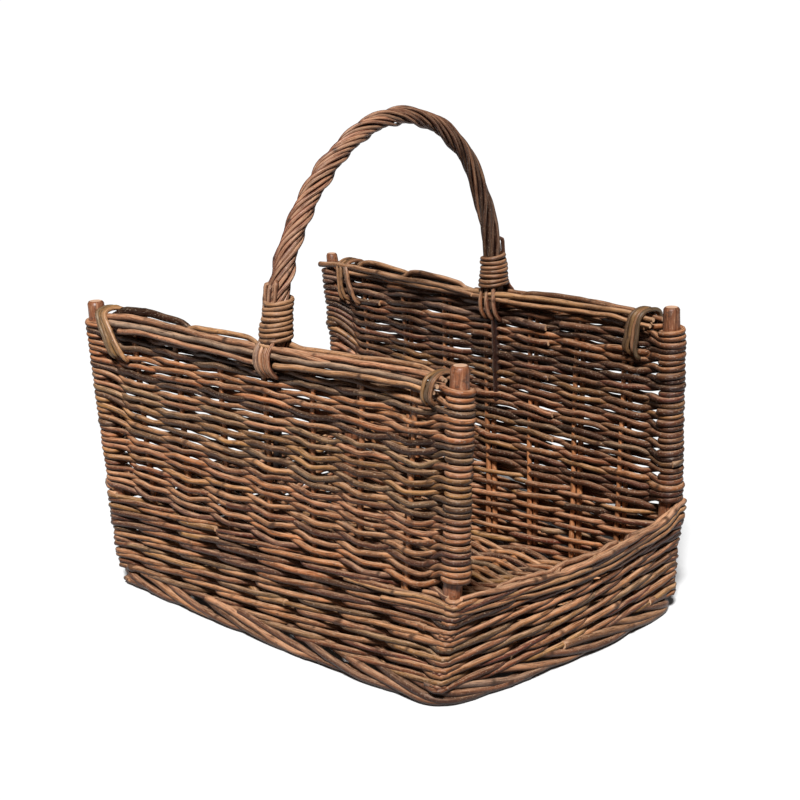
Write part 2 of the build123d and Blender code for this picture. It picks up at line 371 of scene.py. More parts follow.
def panelLine(rng, name, look):
    # the rod's zigzag: rows that pass the stakes on alternate sides, and half turns round the posts
    _, front, back = panels[name]
    rows = look["rows"]
    shares = np.linspace(0, 1, 150)
    phase = np.interp(shares, [0, *panelShares, 1], math.pi * np.arange(len(panelShares) + 2))
    tops = {"front": look["frontTop"], "back": look["backTop"]}
    slots = {end: knuckleSlots(rng, rows // 2, look["knuckleLow"][end], top + 0.001, look["doubled"])
             for end, top in tops.items()}
    used = {"front": 0, "back": 0}
    parts, sides = [], []
    startZ = None
    for row in range(rows):
        end = "back" if row % 2 == 0 else "front"
        share = (row + 0.5) / rows
        frontZ = look["lowest"] + (look["frontTop"] - look["lowest"]) * share
        backZ = look["lowest"] + (look["backTop"] - look["lowest"]) * share
        level = frontZ + (backZ - frontZ) * shares
        length = np.linalg.norm(onPost(back, frontZ) - onPost(front, frontZ))
        nearFront = smooth(1 - shares * length / look["turnRun"])
        nearBack = smooth(1 - (1 - shares) * length / look["turnRun"])
        swing = np.arcsin(0.95 * np.cos(phase + row * math.pi)) / math.asin(0.95)
        away = 1 - nearFront - nearBack
        # rods lie flatter and closer where only open space is behind them
        alongY = onPost(front, frontZ)[1] + (onPost(back, frontZ) - onPost(front, frontZ))[1] * shares
        openAbove = look["openZ"] + look["openSlope"] * (look["openY"] - alongY)
        flat = 1.0 if name == "right" else smooth((level - openAbove) / look["openFade"])
        z = level - (look["dip"] * (1 - flat) + look["flatDip"][name] * flat) * swing * away
        z += wander(rng, shares * length, 0.0014, 0.13) * away + rng.uniform(-0.0010, 0.0010) * away
        hasTurn = used[end] < rows // 2 and row < rows - 1
        if hasTurn:
            slotZ, extra, pitch = (slots[end][0][used[end]], slots[end][1][used[end]], slots[end][2])
            arriveZ = slotZ - pitch / 4
            leaveZ = slotZ + pitch / 4 + pitch * extra
        else:
            arriveZ = frontZ if end == "front" else backZ
        beginZ = startZ if startZ is not None else frontZ
        frontEndZ, backEndZ = (beginZ, arriveZ) if end == "back" else (arriveZ, beginZ)
        z = z + (frontEndZ - level) * nearFront + (backEndZ - level) * nearBack
        reach = look["stakeReach"] + (look["postReach"] - look["stakeReach"]) * (nearFront + nearBack)
        depth = reach * swing + wander(rng, shares * length, 0.0005) * away
        along, outward = panelFrame(name, z)
        base = onPost(front, z) + (onPost(back, z) - onPost(front, z)) * shares[:, None]
        line = base + outward * depth[:, None]
        line[:, 2] = z
        order = slice(None) if end == "back" else slice(None, None, -1)
        parts.append(line[order])
        sides.append(depth[order])
        if hasTurn:
            angle = np.linspace(0, math.pi * (1 + 2 * extra), 14 + 22 * extra)
            turnZ = slotZ + (angle - math.pi / 2) / (2 * math.pi) * pitch
            along, outward = panelFrame(name, turnZ)
            sense = 1 if end == "back" else -1
            bulge = look["postReach"] + rng.uniform(-0.0006, 0.0016) * np.sin(angle / (1 + 2 * extra))
            turnZ = turnZ + rng.uniform(-0.0013, 0.0013) * np.sin(angle / (1 + 2 * extra))
            reachOut = bulge * sense * np.cos(angle)
            reachOn = bulge * sense * np.sin(angle) * np.where(np.sin(angle) < 0, 0.74, 1.0)
            turn = onPost(back if end == "back" else front, turnZ)
            turn = turn + outward * reachOut[:, None] + along * reachOn[:, None]
            parts.append(turn)
            sides.append(reachOut)
            used[end] += 1
            startZ = leaveZ
    line = np.concatenate(parts)
    data = np.concatenate([line, np.concatenate(sides)[:, None]], 1)
    keep = np.concatenate([[True], np.linalg.norm(np.diff(line, axis=0), axis=1) > 1e-5])
    even = evenly(data[keep], look["step"])
    return even[:, :3], even[:, 3]


def panelWeave(name, seed):
    rng = np.random.default_rng(seed)
    path, side = panelLine(rng, name, panelLook)
    outward = lambda line: panelFrame(name, line[:, 2])[1]
    widths = [width * panelLook["thicker"][name] for width in panelLook["widths"]]
    look = {**panelLook, "outward": outward, "shadeAndTone": panelLook["paintedShadeBySide"][name], "widths": widths}
    return cutIntoRods(rng, path, side, look, {"left": "panel", "right": "far"}[name])


stakeLook = {"width": 0.0064, "gap": 0.0068, "stagger": 0.0019, "bend": 0.0007, "step": 0.012}


def uprights(rng, low, high, lengthwise, outward, look):
    # a pair of stakes side by side, from low to high
    rods = []
    for sign in (-1, 1):
        shift = np.asarray(lengthwise) * sign * look["gap"] / 2
        shift = shift - np.asarray(outward) * sign * look["stagger"]
        path = evenly(np.array([low + shift, high + shift]), look["step"])
        along = distance(path)
        path[:, 0] += wander(rng, along, look["bend"])
        path[:, 1] += wander(rng, along, look["bend"])
        width = look["width"] * np.linspace(1.06, 0.86, len(path)) * rng.uniform(0.94, 1.06)
        rods.append(rod(rng, path, width, pickTone(rng, "stake"), lean=(1, 0, 0), sides=10))
    return rods


def panelStakes(name, seed):
    rng = np.random.default_rng(seed)
    low, high = (corner.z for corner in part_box(name + "_panel_stakes"))
    side, front, back = panels[name]
    rods = []
    for share in panelShares:
        ends = [onPost(front, z) + (onPost(back, z) - onPost(front, z)) * share for z in (low, high)]
        rods += uprights(rng, *ends, (0, 1, 0), (side, 0, 0), stakeLook)
    return rods


def wallStakes(end, seed):
    rng = np.random.default_rng(seed)
    low, high = (corner.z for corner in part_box(end + "_wall_stakes"))
    left, right = posts[end + "_left"], posts[end + "_right"]
    rods = []
    wall = np.array({"front": [3], "back": [1]}[end])
    for share in wallShares:
        ends = [onPost(left, z) + (onPost(right, z) - onPost(left, z)) * share for z in (low, high)]
        turned = np.array([1 - share if end == "front" else share])
        ends = [place + wallShift(wall, turned, np.array([place[2]]))[0] for place in ends]
        rods += uprights(rng, *ends, (1, 0, 0), (0, 0, 0), stakeLook)
    return rods


# The band round the basket.

cornerShare = 0.045
loopPosts = [posts[corner] for corner in corners]
loopOut = np.array([(-1, 0, 0), (0, 1, 0), (1, 0, 0), (0, -1, 0)], float)
# how far each wall bulges in its middle at the foot, and the share of that left at the band's top
wallBulge = np.array([0.008, 0.004, 0.003, 0.021])
bulgeAbove = np.array([0.15, 0.80, 0.15, 0.92])
# how far the foot stands out at each corner, for the posts in loopPosts
cornerLean = np.array([(-0.006, -0.007, 0), (0, 0, 0), (0, 0, 0), (-0.003, -0.014, 0)])


def wallShift(wall, share, z):
    # bulge = middle bulge x sin(pi share) ^ 0.8; each corner's lean fades along the walls and upwards
    height = np.clip(z / bandTop, 0, 1)
    size = wallBulge[wall] * (1 + (bulgeAbove[wall] - 1) * height)
    bulge = size * np.clip(np.sin(math.pi * share), 0, 1) ** 0.8
    low = smooth(1 - height * 1.25)
    start, end = cornerLean[wall], cornerLean[(wall + 1) % 4]
    lean = start * (1 - share)[:, None] ** 1.4 + end * share[:, None] ** 1.4
    return loopOut[wall] * bulge[:, None] + lean * low[:, None]


def loopPlace(turn, depth, z):
    # a place on the basket's four walls: turn goes 0 to 4 from the front left post along the left,
    # back, right and front walls; depth is outwards; corners are quarter circles about the posts
    turn, depth, z = np.broadcast_arrays(np.asarray(turn, float) % 4, depth, z)
    wall = np.floor(turn).astype(int) % 4
    part = turn - np.floor(turn)
    share = np.clip(part / (1 - cornerShare), 0, 1)
    angle = np.clip((part - 1 + cornerShare) / cornerShare, 0, 1) * math.pi / 2
    centres = np.stack([onPost(axis, z) for axis in loopPosts])
    index = np.arange(len(z))
    start, end = centres[wall, index], centres[(wall + 1) % 4, index]
    outward = np.cos(angle)[:, None] * loopOut[wall] + np.sin(angle)[:, None] * loopOut[(wall + 1) % 4]
    squarer = 1 + 0.24 * np.sin(2 * angle) ** 2
    place = start + (end - start) * share[:, None] + outward * (depth * squarer)[:, None]
    place += wallShift(wall, share, z)
    place[:, 2] = z
    return place, outward


def loopStations():
    # turn of every post and stake pair, in order round the basket
    turns = [-cornerShare / 2]
    for wall in range(4):
        shares = (panelShares, wallShares, 1 - panelShares[::-1], 1 - wallShares[::-1])[wall]
        turns += [wall + (1 - cornerShare) * share for share in shares]
        turns.append(wall + 1 - cornerShare / 2)
    return np.array(turns)


stations = loopStations()
isPost = np.isin(np.arange(len(stations)), [0, 8, 14, 22, 28])

bandLook = {
    "lowest": 0.0255,
    "pitch": 0.0138,
    "roll": 0.0034,
    "stakeReach": 0.0068,
    "postReach": 0.0118,
    "step": 0.0068,
    "overlap": 0.030,
    "rodLength": (0.7, 1.25),
    "outerEnds": 0.35,
    "widths": (0.0076, 0.0056),
    "tuck": 0.0030,
    "sides": 8,
    "darkBelts": (),
    "shadeAndTone": 0.0,
}


def bandCourse(rng, z, look):
    # three rods that pass in front of two stakes and behind one, as one line three times round
    count = len(stations) - 1
    turn = np.linspace(0, 12, 4800)
    station = np.interp(turn % 4, stations, np.arange(count + 1)) + count * np.floor(turn / 4)
    phase = 2 * math.pi * station / 3
    nearPost = np.interp(turn % 4, stations, isPost.astype(float)) ** 1.2
    swing = np.tanh(1.9 * (0.32 - 1.35 * np.cos(phase))) / 0.95
    depth = look["stakeReach"] * swing * (1 - nearPost) + look["postReach"] * nearPost
    along = turn * 0.45
    depth = depth + wander(rng, along, 0.0007)
    slant = np.arcsin(0.95 * np.sin(phase)) / math.asin(0.95)
    level = z + look["roll"] * slant * (1 + 0.25 * nearPost) + wander(rng, along, 0.0011, 0.31)
    line, _ = loopPlace(turn, depth, level)
    data = np.concatenate([line, depth[:, None]], 1)
    even = evenly(data, look["step"])
    return even[:, :3], even[:, 3]


def bandOutward(line):
    # away from the basket's middle, square to the nearer wall
    middle = (line[:, :2].max(0) + line[:, :2].min(0)) / 2
    half = (line[:, :2].max(0) - line[:, :2].min(0)) / 2
    scaled = (line[:, :2] - middle) / half
    side = np.abs(scaled[:, 0]) > np.abs(scaled[:, 1])
    outward = np.zeros_like(line)
    outward[side, 0] = np.sign(scaled[side, 0])
    outward[~side, 1] = np.sign(scaled[~side, 1])
    return outward


def bandCourses(numbers, seed):
    rng = np.random.default_rng(seed)
    look = {**bandLook, "outward": bandOutward}
    rods = []
    for number in numbers:
        path, side = bandCourse(rng, bandLook["lowest"] + number * bandLook["pitch"], bandLook)
        shift = int(rng.uniform(0.1, 0.9) * len(path))
        path, side = np.roll(path, shift, axis=0), np.roll(side, shift)
        rods += cutIntoRods(rng, path, side, look, "band")
    return rods


# Foot border.

footLook = {
    "spacing": 0.056,
    "length": 0.225,
    "width": 0.0089,
    "highZ": 0.024,
    "lowZ": 0.0054,
    "outer": 0.0098,
    "inner": -0.003,
    "buttsShown": 0.4,
    "buttDepth": 0.0085,
    "cornerDepth": 0.010,
    "softReach": 4,
    "step": 0.0062,
}
cornerRun = 0.02


def footLength(wall):
    # from one post's centre to the next, a little above the foot
    return np.linalg.norm(onPost(loopPosts[wall], 0.02) - onPost(loopPosts[(wall + 1) % 4], 0.02))


footRuns = [run for wall in range(4) for run in (footLength(wall), cornerRun)]
loopMarks = np.concatenate([[0], np.cumsum(footRuns)])
loopTurns = np.array([wall + part for wall in range(4) for part in (0, 1 - cornerShare)] + [4.0])


def turnAt(run):
    # turn of a distance round the foot
    total = loopMarks[-1]
    return np.interp(run % total, loopMarks, loopTurns) + 4 * np.floor(run / total)


def footRods(seed):
    # each rod starts inside the band, comes out and down to the bottom edge and ends under it
    rng = np.random.default_rng(seed)
    look = footLook
    walls = {"left": [], "back": [], "right": [], "front": []}
    total = loopMarks[-1]
    count = int(round(total / look["spacing"]))
    for number in range(count):
        length = look["length"] * rng.uniform(0.85, 1.20)
        start = number * total / count + rng.uniform(-0.010, 0.010)
        w = np.linspace(0, 1, int(length / look["step"]))
        run = start - w * length
        z = look["highZ"] + (look["lowZ"] - look["highZ"]) * smooth(w / 0.66)
        z += rng.uniform(-0.0005, 0.0014) + wander(rng, w * length, 0.0008)
        inner = look["buttDepth"] if rng.random() < look["buttsShown"] else look["inner"]
        depth = inner + (look["outer"] * rng.uniform(0.9, 1.12) - inner) * smooth(w / 0.28)
        depth -= (look["outer"] + 0.001) * smooth((w - 0.70) / 0.30)
        z = np.maximum(z, look["width"] / 2 + 0.0002)
        nearCorner = np.exp(-((np.minimum(run % total, total) - loopMarks[:, None]) / 0.03) ** 2).max(0)
        line, _ = loopPlace(turnAt(run), np.maximum(depth, look["cornerDepth"] * nearCorner), z)
        # softened round the corners by a running mean
        reach = look["softReach"]
        padded = np.concatenate([line[:1]] * reach + [line] + [line[-1:]] * reach)
        soft = np.stack([padded[k:k + len(line)] for k in range(2 * reach + 1)]).mean(0)
        line[reach:-reach, :2] = soft[reach:-reach, :2]
        width = look["width"] * rng.uniform(0.84, 1.06) * np.linspace(1.05, 0.80, len(w))
        wall = list(walls)[int(turnAt(start - length / 2) % 4)]
        walls[wall].append(rod(rng, line, width, pickTone(rng, "foot"), knotEvery=0.09, sides=10))
    return walls


# Borders along the tops of the low walls.

borderLook = {
    "width": 0.0063,
    "step": 0.006,
    "below": 0.0046,  # middle of the bundle below the CAD rods' top
    "postReach": 0.0104,
    "outerReach": 0.0020,
    "sag": 0.0095,
    "rise": 0.0085,
    "fall": 0.010,
}
borderPlans = (
    # last and first part of the wall, depth outwards, height, bow
    (1.26, -0.045, 0.0085, -0.0022, 0.000),
    (1.16, -0.050, 0.0088, -0.0098, 0.000),
    (1.07, -0.030, 0.0020, 0.0024, 0.001),
    (0.96, -0.045, 0.0085, 0.0052, 0.001),
    (0.80, 0.300, -0.0045, 0.0040, 0.003),
    (1.02, 0.020, -0.0050, -0.0040, 0.000),
)


def borderRods(end, seed):
    # rods that come along a side wall, round one corner and along the low wall's top, sag in its middle
    # and rise a little where they go round the far post
    rng = np.random.default_rng(seed)
    look = borderLook
    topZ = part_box(end + "_border_rods")[1].z
    start = {"front": 3.0, "back": 1.0}[end]
    rods = []
    for last, first, depth, lift, bow in borderPlans:
        turn = np.linspace(start + first, start + last, 260)
        part = (turn - turn[0]) / (turn[-1] - turn[0])
        nearPost = np.interp(turn % 4, stations, isPost.astype(float)) ** 3
        reach = look["postReach"] + look["outerReach"] * (depth > 0)
        out = depth + (reach - depth) * nearPost
        onWall = turn - start
        z = topZ - look["below"] + lift - look["sag"] * np.sin(np.clip(onWall, 0, 1) * math.pi)
        z += bow * np.sin(part * math.pi) + wander(rng, part, 0.0014, 0.45)
        z += look["rise"] * smooth((0.10 - onWall) / 0.14) - look["fall"] * smooth((onWall - 1.0) / 0.2)
        line, _ = loopPlace(turn, out + wander(rng, part, 0.0013, 0.4), z)
        line = evenly(line, look["step"])
        width = look["width"] * np.linspace(1.08, 0.74, len(line)) * rng.uniform(0.92, 1.08)
        rods.append(rod(rng, line, width, pickTone(rng, "border"), sides=10))
    return rods


# Rims: bundles of rods along the tops of the tall panels.

rimLook = {
    "width": 0.0069,
    "step": 0.006,
    # the far (right) rim is painted darker, painted shade; the near (left) rim a little lighter, painted
    # light
    "paintedShadeBySide": {"left": 0.06, "right": -0.20},
    "blackAbove": 1.4,  # the one rod this much thicker than the others is black
    "legShare": 0.467,
    "legAside": (0.0112, -0.0160),
}


def rimTop(name):
    # centre of the CAD rim bundle's box top at the front end and the back end
    points = nodePoints(name + "_rim_rods")
    ends = []
    for pick in (points[:, 1] < points[:, 1].min() + 0.01, points[:, 1] > points[:, 1].max() - 0.01):
        ends.append(points[pick].max(0)[2])
    return ends


def rimPlace(name, share, out, lift, sag):
    # share goes from the front post to the back post, out is away from the basket's middle,
    # lift is above the rim's top line, which sags towards its middle
    frontTop, backTop = rimTop(name)
    _, front, back = panels[name]
    share, out, lift = np.broadcast_arrays(np.asarray(share, float), out, lift)
    dip = sag * np.sin(np.clip(share, 0, 1) * math.pi) ** 2
    z = frontTop + (backTop - frontTop) * share + lift - dip
    base = onPost(front, z) + (onPost(back, z) - onPost(front, z)) * share[:, None]
    _, outward = panelFrame(name, z)
    line = base + outward * out[:, None]
    line[:, 2] = z
    return line


rimPlans = {
    # first share, last share, outwards, below the top line, arch, end dive, width factor
    "left": (
        (0.97, 0.30, 0.0090, -0.0045, 0.0010, 0.004, 1.08),
        (0.93, 0.032, 0.0125, -0.0105, 0.0005, 0.003, 1.00),
        (0.62, 0.030, 0.0065, -0.0040, 0.0000, 0.004, 1.00),
        (0.74, 0.40, 0.0010, -0.0035, 0.0045, 0.007, 0.95),
        (0.955, 0.700, -0.0060, -0.0055, 0.0070, 0.006, 1.45),
        (0.55, 0.034, -0.0080, -0.0040, 0.0010, 0.006, 1.00),
        (0.965, 0.45, -0.0125, -0.0105, 0.0000, 0.004, 1.00),
        (0.50, 0.036, -0.0128, -0.0105, 0.0000, 0.004, 0.95),
        (0.35, 0.032, 0.0000, -0.0075, 0.0005, 0.003, 0.95),
        (0.965, 0.53, 0.0020, -0.0090, 0.0000, 0.003, 1.00),
        (0.44, 0.040, 0.0135, -0.0170, 0.0000, 0.003, 0.95),
        (0.90, 0.50, 0.0135, -0.0175, 0.0000, 0.003, 0.95),
        (0.90, 0.10, -0.0130, -0.0172, 0.0000, 0.003, 0.95),
    ),
    "right": (
        (1.018, 0.52, -0.0140, -0.0062, 0.0005, 0.003, 1.00),
        (0.93, 0.035, -0.0120, -0.0110, 0.0005, 0.003, 0.95),
        (0.58, 0.033, -0.0075, -0.0040, 0.0000, 0.004, 1.00),
        (0.92, 0.72, 0.0010, -0.0040, 0.0050, 0.007, 0.95),
        (0.76, 0.55, -0.0010, -0.0035, 0.0050, 0.006, 0.95),
        (0.42, 0.12, 0.0000, -0.0035, 0.0045, 0.006, 1.00),
        (0.965, 0.55, 0.0085, -0.0055, 0.0005, 0.006, 1.00),
        (0.55, 0.034, 0.0080, -0.0045, 0.0010, 0.006, 1.00),
        (0.965, 0.40, 0.0128, -0.0115, 0.0000, 0.004, 1.00),
        (0.50, 0.036, 0.0128, -0.0105, 0.0000, 0.004, 0.95),
        (0.965, 0.05, 0.0000, -0.0095, 0.0000, 0.003, 0.95),
        (0.95, 0.05, 0.0130, -0.0175, 0.0000, 0.003, 0.95),
    ),
}
rimSag = {"left": 0.0062, "right": 0.0050}


def rimRods(name, seed):
    rng = np.random.default_rng(seed)
    rods = []
    for first, last, out, lift, arch, dive, thick in rimPlans[name]:
        share = np.linspace(first, last, 220)
        part = np.linspace(0, 1, 220)
        ends = smooth(1 - part / 0.16) + smooth(1 - (1 - part) / 0.16)
        height = lift + arch * np.sin(part * math.pi) - dive * ends + wander(rng, share, 0.0010, 0.35)
        # rods part round the handle's leg
        aside = rimLook["legAside"][0 if out >= 0 else 1]
        byLeg = np.exp(-((share - rimLook["legShare"]) / 0.045) ** 2)
        side = out + (aside - out) * byLeg * (abs(out) < 0.0132) + wander(rng, share, 0.0011, 0.3)
        line = evenly(rimPlace(name, share, side, height, rimSag[name]), rimLook["step"])
        width = rimLook["width"] * thick * np.linspace(1.06, 0.78, len(line))
        tone = pickTone(rng, "border")
        shadeAndTone = rimLook["paintedShadeBySide"][name]
        if thick > rimLook["blackAbove"]:
            tone, shadeAndTone = (1.0, 0.0, 0.0), 0.0
        rods.append(rod(rng, line, width, tone, sides=10, shadeAndTone=shadeAndTone))
    return rods


# Ties beside the posts.

tieLook = {"width": 0.0046, "step": 0.0035, "reach": 0.0176}
tiePlans = {
    # length of the legs, height over the rim, and for each strand its shares of the way from the front
    # post to the back post: at the inner foot, over the rim and at the outer foot
    "front_left": (0.026, -0.0034, (
        (0.044, 0.036, 0.044), (0.052, 0.044, 0.052), (0.060, 0.053, 0.062),
    )),
    "back_left": (0.050, 0.0, (
        (0.940, 0.966, 0.936), (0.930, 0.957, 0.926), (0.935, 0.952, 0.905), (0.920, 0.944, 0.896),
    )),
    "front_right": (0.046, 0.0, (
        (0.078, 0.060, 0.050), (0.088, 0.068, 0.060), (0.098, 0.076, 0.068), (0.068, 0.052, 0.05),
    )),
    "back_right": (0.044, 0.0, (
        (0.948, 0.950, 0.93), (0.936, 0.940, 0.92), (0.914, 0.930, 0.91), (0.902, 0.922, 0.90),
    )),
}


def tieStrands(corner, seed):
    # thin strips that come up one face of the panel, over the rim and down the other
    rng = np.random.default_rng(seed)
    name = corner.split("_")[1]
    leg, top, plans = tiePlans[corner]
    strands = []
    for inner, over, outer in plans:
        long = leg * rng.uniform(0.88, 1.12)
        reach = tieLook["reach"]
        rising, falling = inner * 0.4 + over * 0.6, over * 0.6 + outer * 0.4
        shares = (inner, inner, rising, over, over, over, falling, outer, outer)
        outs = np.array((-0.55, -1, -1, -0.86, 0, 0.86, 1, 0.96, 0.5)) * reach
        edge = top - 0.003
        lifts = (-long - 0.005, -long, -0.016, edge, top, edge, -0.016, -long, -long - 0.006)
        lift = np.array(lifts) + rng.uniform(0, 0.0012)
        line = rounded(rimPlace(name, np.array(shares), outs, lift, rimSag[name]), tieLook["step"])
        line[:, 1] += wander(rng, distance(line), 0.0010, 0.08)
        width = tieLook["width"] * rng.uniform(0.85, 1.15)
        tone = pickTone(rng, "tie")
        # ties on the far (right) panel are painted darker, painted shade; those on the left lighter,
        # painted light
        shadeAndTone = -0.22 if name == "right" else 0.10
        strands.append(rod(rng, line, width, tone, lean=(0, 1, 0.02), sides=8, shadeAndTone=shadeAndTone))
    return strands


# Handle: a core, strands twisted round it, bindings and tucked tails.

handleLook = {
    "springX": 0.170,
    "springZ": 0.335,
    "leftRadius": 0.230,
    "leftAngle": 60.0,
    "rightAngle": 27.5,
    "strands": 10,
    "step": 0.004,
    "coreWidth": 0.0096,
    # side of each strand that gets the painted highlight; the opposite side gets painted shade
    "lightSide": (-0.5, -0.8, 0.25),
    # from the left foot to the right one: places, then the radius over the strands, turns in radians
    # for each metre, and how much lighter or darker the bark is
    "reachAt": (0, 0.03, 0.12, 0.3, 0.5, 0.75, 0.9, 0.98, 1),
    "reach": (0.0088, 0.0130, 0.0122, 0.0110, 0.0098, 0.0101, 0.0106, 0.0112, 0.0086),
    "twistAt": (0, 0.45, 0.7, 1),
    "twist": (60, 56, 32, 18),
    # the left leg is painted lighter, a painted highlight; the bark darkens towards the right leg
    "shadeAndToneAt": (0, 0.35, 0.55, 0.75, 1),
    "shadeAndTone": (0.16, 0.14, -0.06, -0.44, -0.50),
}
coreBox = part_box("handle_core")
handleY = (coreBox[0].y + coreBox[1].y) / 2


def archLine(look):
    # three arcs in one upright plane, each tangent to the next; the last two radii close the span
    left, right = math.radians(look["leftAngle"]), math.radians(look["rightAngle"])
    halfTangent = math.tan(right / 2)
    height = look["leftRadius"] * math.sin(left)
    sineGap = math.sin(left) - math.sin(right)
    width = 2 * look["springX"] - look["leftRadius"] * (1 - math.cos(left)) - halfTangent * height
    crown = width / (math.cos(left) + math.cos(right) - halfTangent * sineGap)
    last = (height - crown * sineGap) / math.sin(right)
    place, points = np.array([-look["springX"], look["springZ"]]), []
    edges = (0, left, math.pi - right, math.pi)
    for radius, begin, end in zip((look["leftRadius"], crown, last), edges, edges[1:]):
        centre = place + radius * np.array([math.cos(begin), -math.sin(begin)])
        angle = np.linspace(begin, end, 120)
        arc = centre + radius * np.stack([-np.cos(angle), np.sin(angle)], -1)
        points.append(arc[:-1])
        place = arc[-1]
    points = np.concatenate(points + [place[None]])
    return np.stack([points[:, 0], np.full(len(points), handleY), points[:, 1]], -1)


def handleCentre(look, down, aside):
    # the arch with a leg of the length down below each spring, its foot moved aside from the middle
    arch = archLine(look)
    legs = [arch[:1] - [[aside, 0, down]], arch, arch[-1:] - [[-aside, 0, down]]]
    return evenly(np.concatenate(legs), look["step"])


def handleStrands(seed):
    # strand = centre + reach (cos a Y + sin a sideways), where a grows along the arch
    rng = np.random.default_rng(seed)
    look = handleLook
    centre = handleCentre(look, 0.022, 0.0008)
    along = distance(centre)
    part = along / along[-1]
    tangent = unit(np.gradient(centre, axis=0))
    level = np.tile([0.0, 1.0, 0.0], (len(centre), 1))
    sideways = np.cross(tangent, level)
    outer = np.interp(part, look["reachAt"], look["reach"])
    count = look["strands"]
    strandRadius = outer * math.sin(math.pi / count) / (1 + math.sin(math.pi / count))
    reach = outer - strandRadius
    twist = np.interp(part, look["twistAt"], look["twist"])
    shadeAndTone = np.interp(part, look["shadeAndToneAt"], look["shadeAndTone"])
    angle = np.concatenate([[0], np.cumsum((twist[1:] + twist[:-1]) / 2 * np.diff(along))])
    rods = []
    for number in range(count):
        spin = angle + 2 * math.pi * number / count + wander(rng, along, 0.12, 0.3)
        bulge = 0.0013 * (1 if number % 3 == 1 else -0.5)
        away = reach + bulge + wander(rng, along, 0.0006, 0.12)
        turned = np.cos(spin)[:, None] * level + np.sin(spin)[:, None] * sideways
        line = centre + away[:, None] * turned
        width = 2 * strandRadius * rng.uniform(0.84, 1.04)
        tone = pickTone(rng, "handle")
        lean = look["lightSide"]
        rods.append(rod(rng, line, width, tone, lean=lean, sides=8, knotEvery=0.16, shadeAndTone=shadeAndTone))
    return rods


def handleCore(seed):
    rng = np.random.default_rng(seed)
    line = handleCentre(handleLook, 0.14, 0.005)
    return [rod(rng, line, handleLook["coreWidth"], barkKinds["charcoal"], lean=(0, 1, 0), sides=10)]


bindingLook = {
    "left": {"turns": 8, "low": 0.3365, "high": 0.3800, "reach": 0.0150, "tone": (0.28, 0.72, 0.4)},
    "right": {"turns": 7, "low": 0.3400, "high": 0.3765, "reach": 0.0142, "tone": (0.10, 0.42, 0.2)},
}
bindingWidth = 0.0052
foldedTips = (
    # across, height above the binding, away from the leg's centre
    (-0.006, 0.019, 0.0128),
    (0.001, 0.014, 0.0138),
    (0.008, 0.016, 0.0125),
)


def legCentre(side, z):
    # centre of the handle's leg at heights z
    line = archLine(handleLook)
    half = line[line[:, 0] * side > 0.1]
    half = half[np.argsort(half[:, 2])]
    x = np.interp(z, half[:, 2], half[:, 0])
    return np.stack([x, np.full(len(z), handleY), z], -1)


def handleBinding(name, seed):
    # a strip wound round the leg: an upright helix whose height creeps up one width each turn
    rng = np.random.default_rng(seed)
    look = bindingLook[name]
    side = panels[name][0]
    angle = np.linspace(0, 2 * math.pi * look["turns"], look["turns"] * 26)
    share = angle / angle[-1]
    turnsDone = np.floor(angle / (2 * math.pi))
    turnPart = angle / (2 * math.pi) - turnsDone
    stepped = (turnsDone + smooth((turnPart - 0.4) / 0.6)) / look["turns"]
    z = look["low"] + (look["high"] - look["low"]) * (0.6 * share + 0.4 * stepped)
    z = z + wander(rng, angle, 0.0008, 9.0)
    centre = legCentre(side, z)
    reach = look["reach"] + 0.0012 * np.cos(share * math.pi) + wander(rng, angle, 0.0008, 7.0)
    line = centre + np.stack([np.cos(angle) * reach * 1.04, np.sin(angle) * reach, np.zeros_like(z)], -1)
    rods = [rod(rng, evenly(line, 0.0035), bindingWidth, look["tone"], sides=8, knotEvery=0.3)]
    for y, rise, out in foldedTips:
        low = legCentre(side, np.array([look["low"] + 0.002]))[0]
        high = legCentre(side, np.array([look["high"] + rise]))[0]
        points = [
            low + [side * out * 0.8, y, 0],
            low + [side * out * 0.9, y, 0.012],
            high + [side * (out + 0.001), y * 1.1, -0.008],
            high + [side * out, y * 1.2, 0],
            high + [side * (out - 0.003), y * 0.7, 0.001],
            high + [side * (out - 0.0045), y * 0.4, -0.007],
        ]
        tone = pickTone(rng, "handle")
        rods.append(rod(rng, rounded(points, 0.003), 0.0046, tone, lean=(side, 0, 0.3), sides=8))
    return rods


tailPlans = (
    # across at the binding, across at the tuck, width, kind of bark
    (0.0080, 0.0060, 0.0078, "grey"),
    (0.0010, -0.0010, 0.0060, "pale"),
    (-0.0050, -0.0075, 0.0052, "tan"),
    (-0.0100, -0.0130, 0.0050, "pink"),
)
innerTails = ((-0.007, 0.0054), (0.001, 0.0058), (0.008, 0.0050))


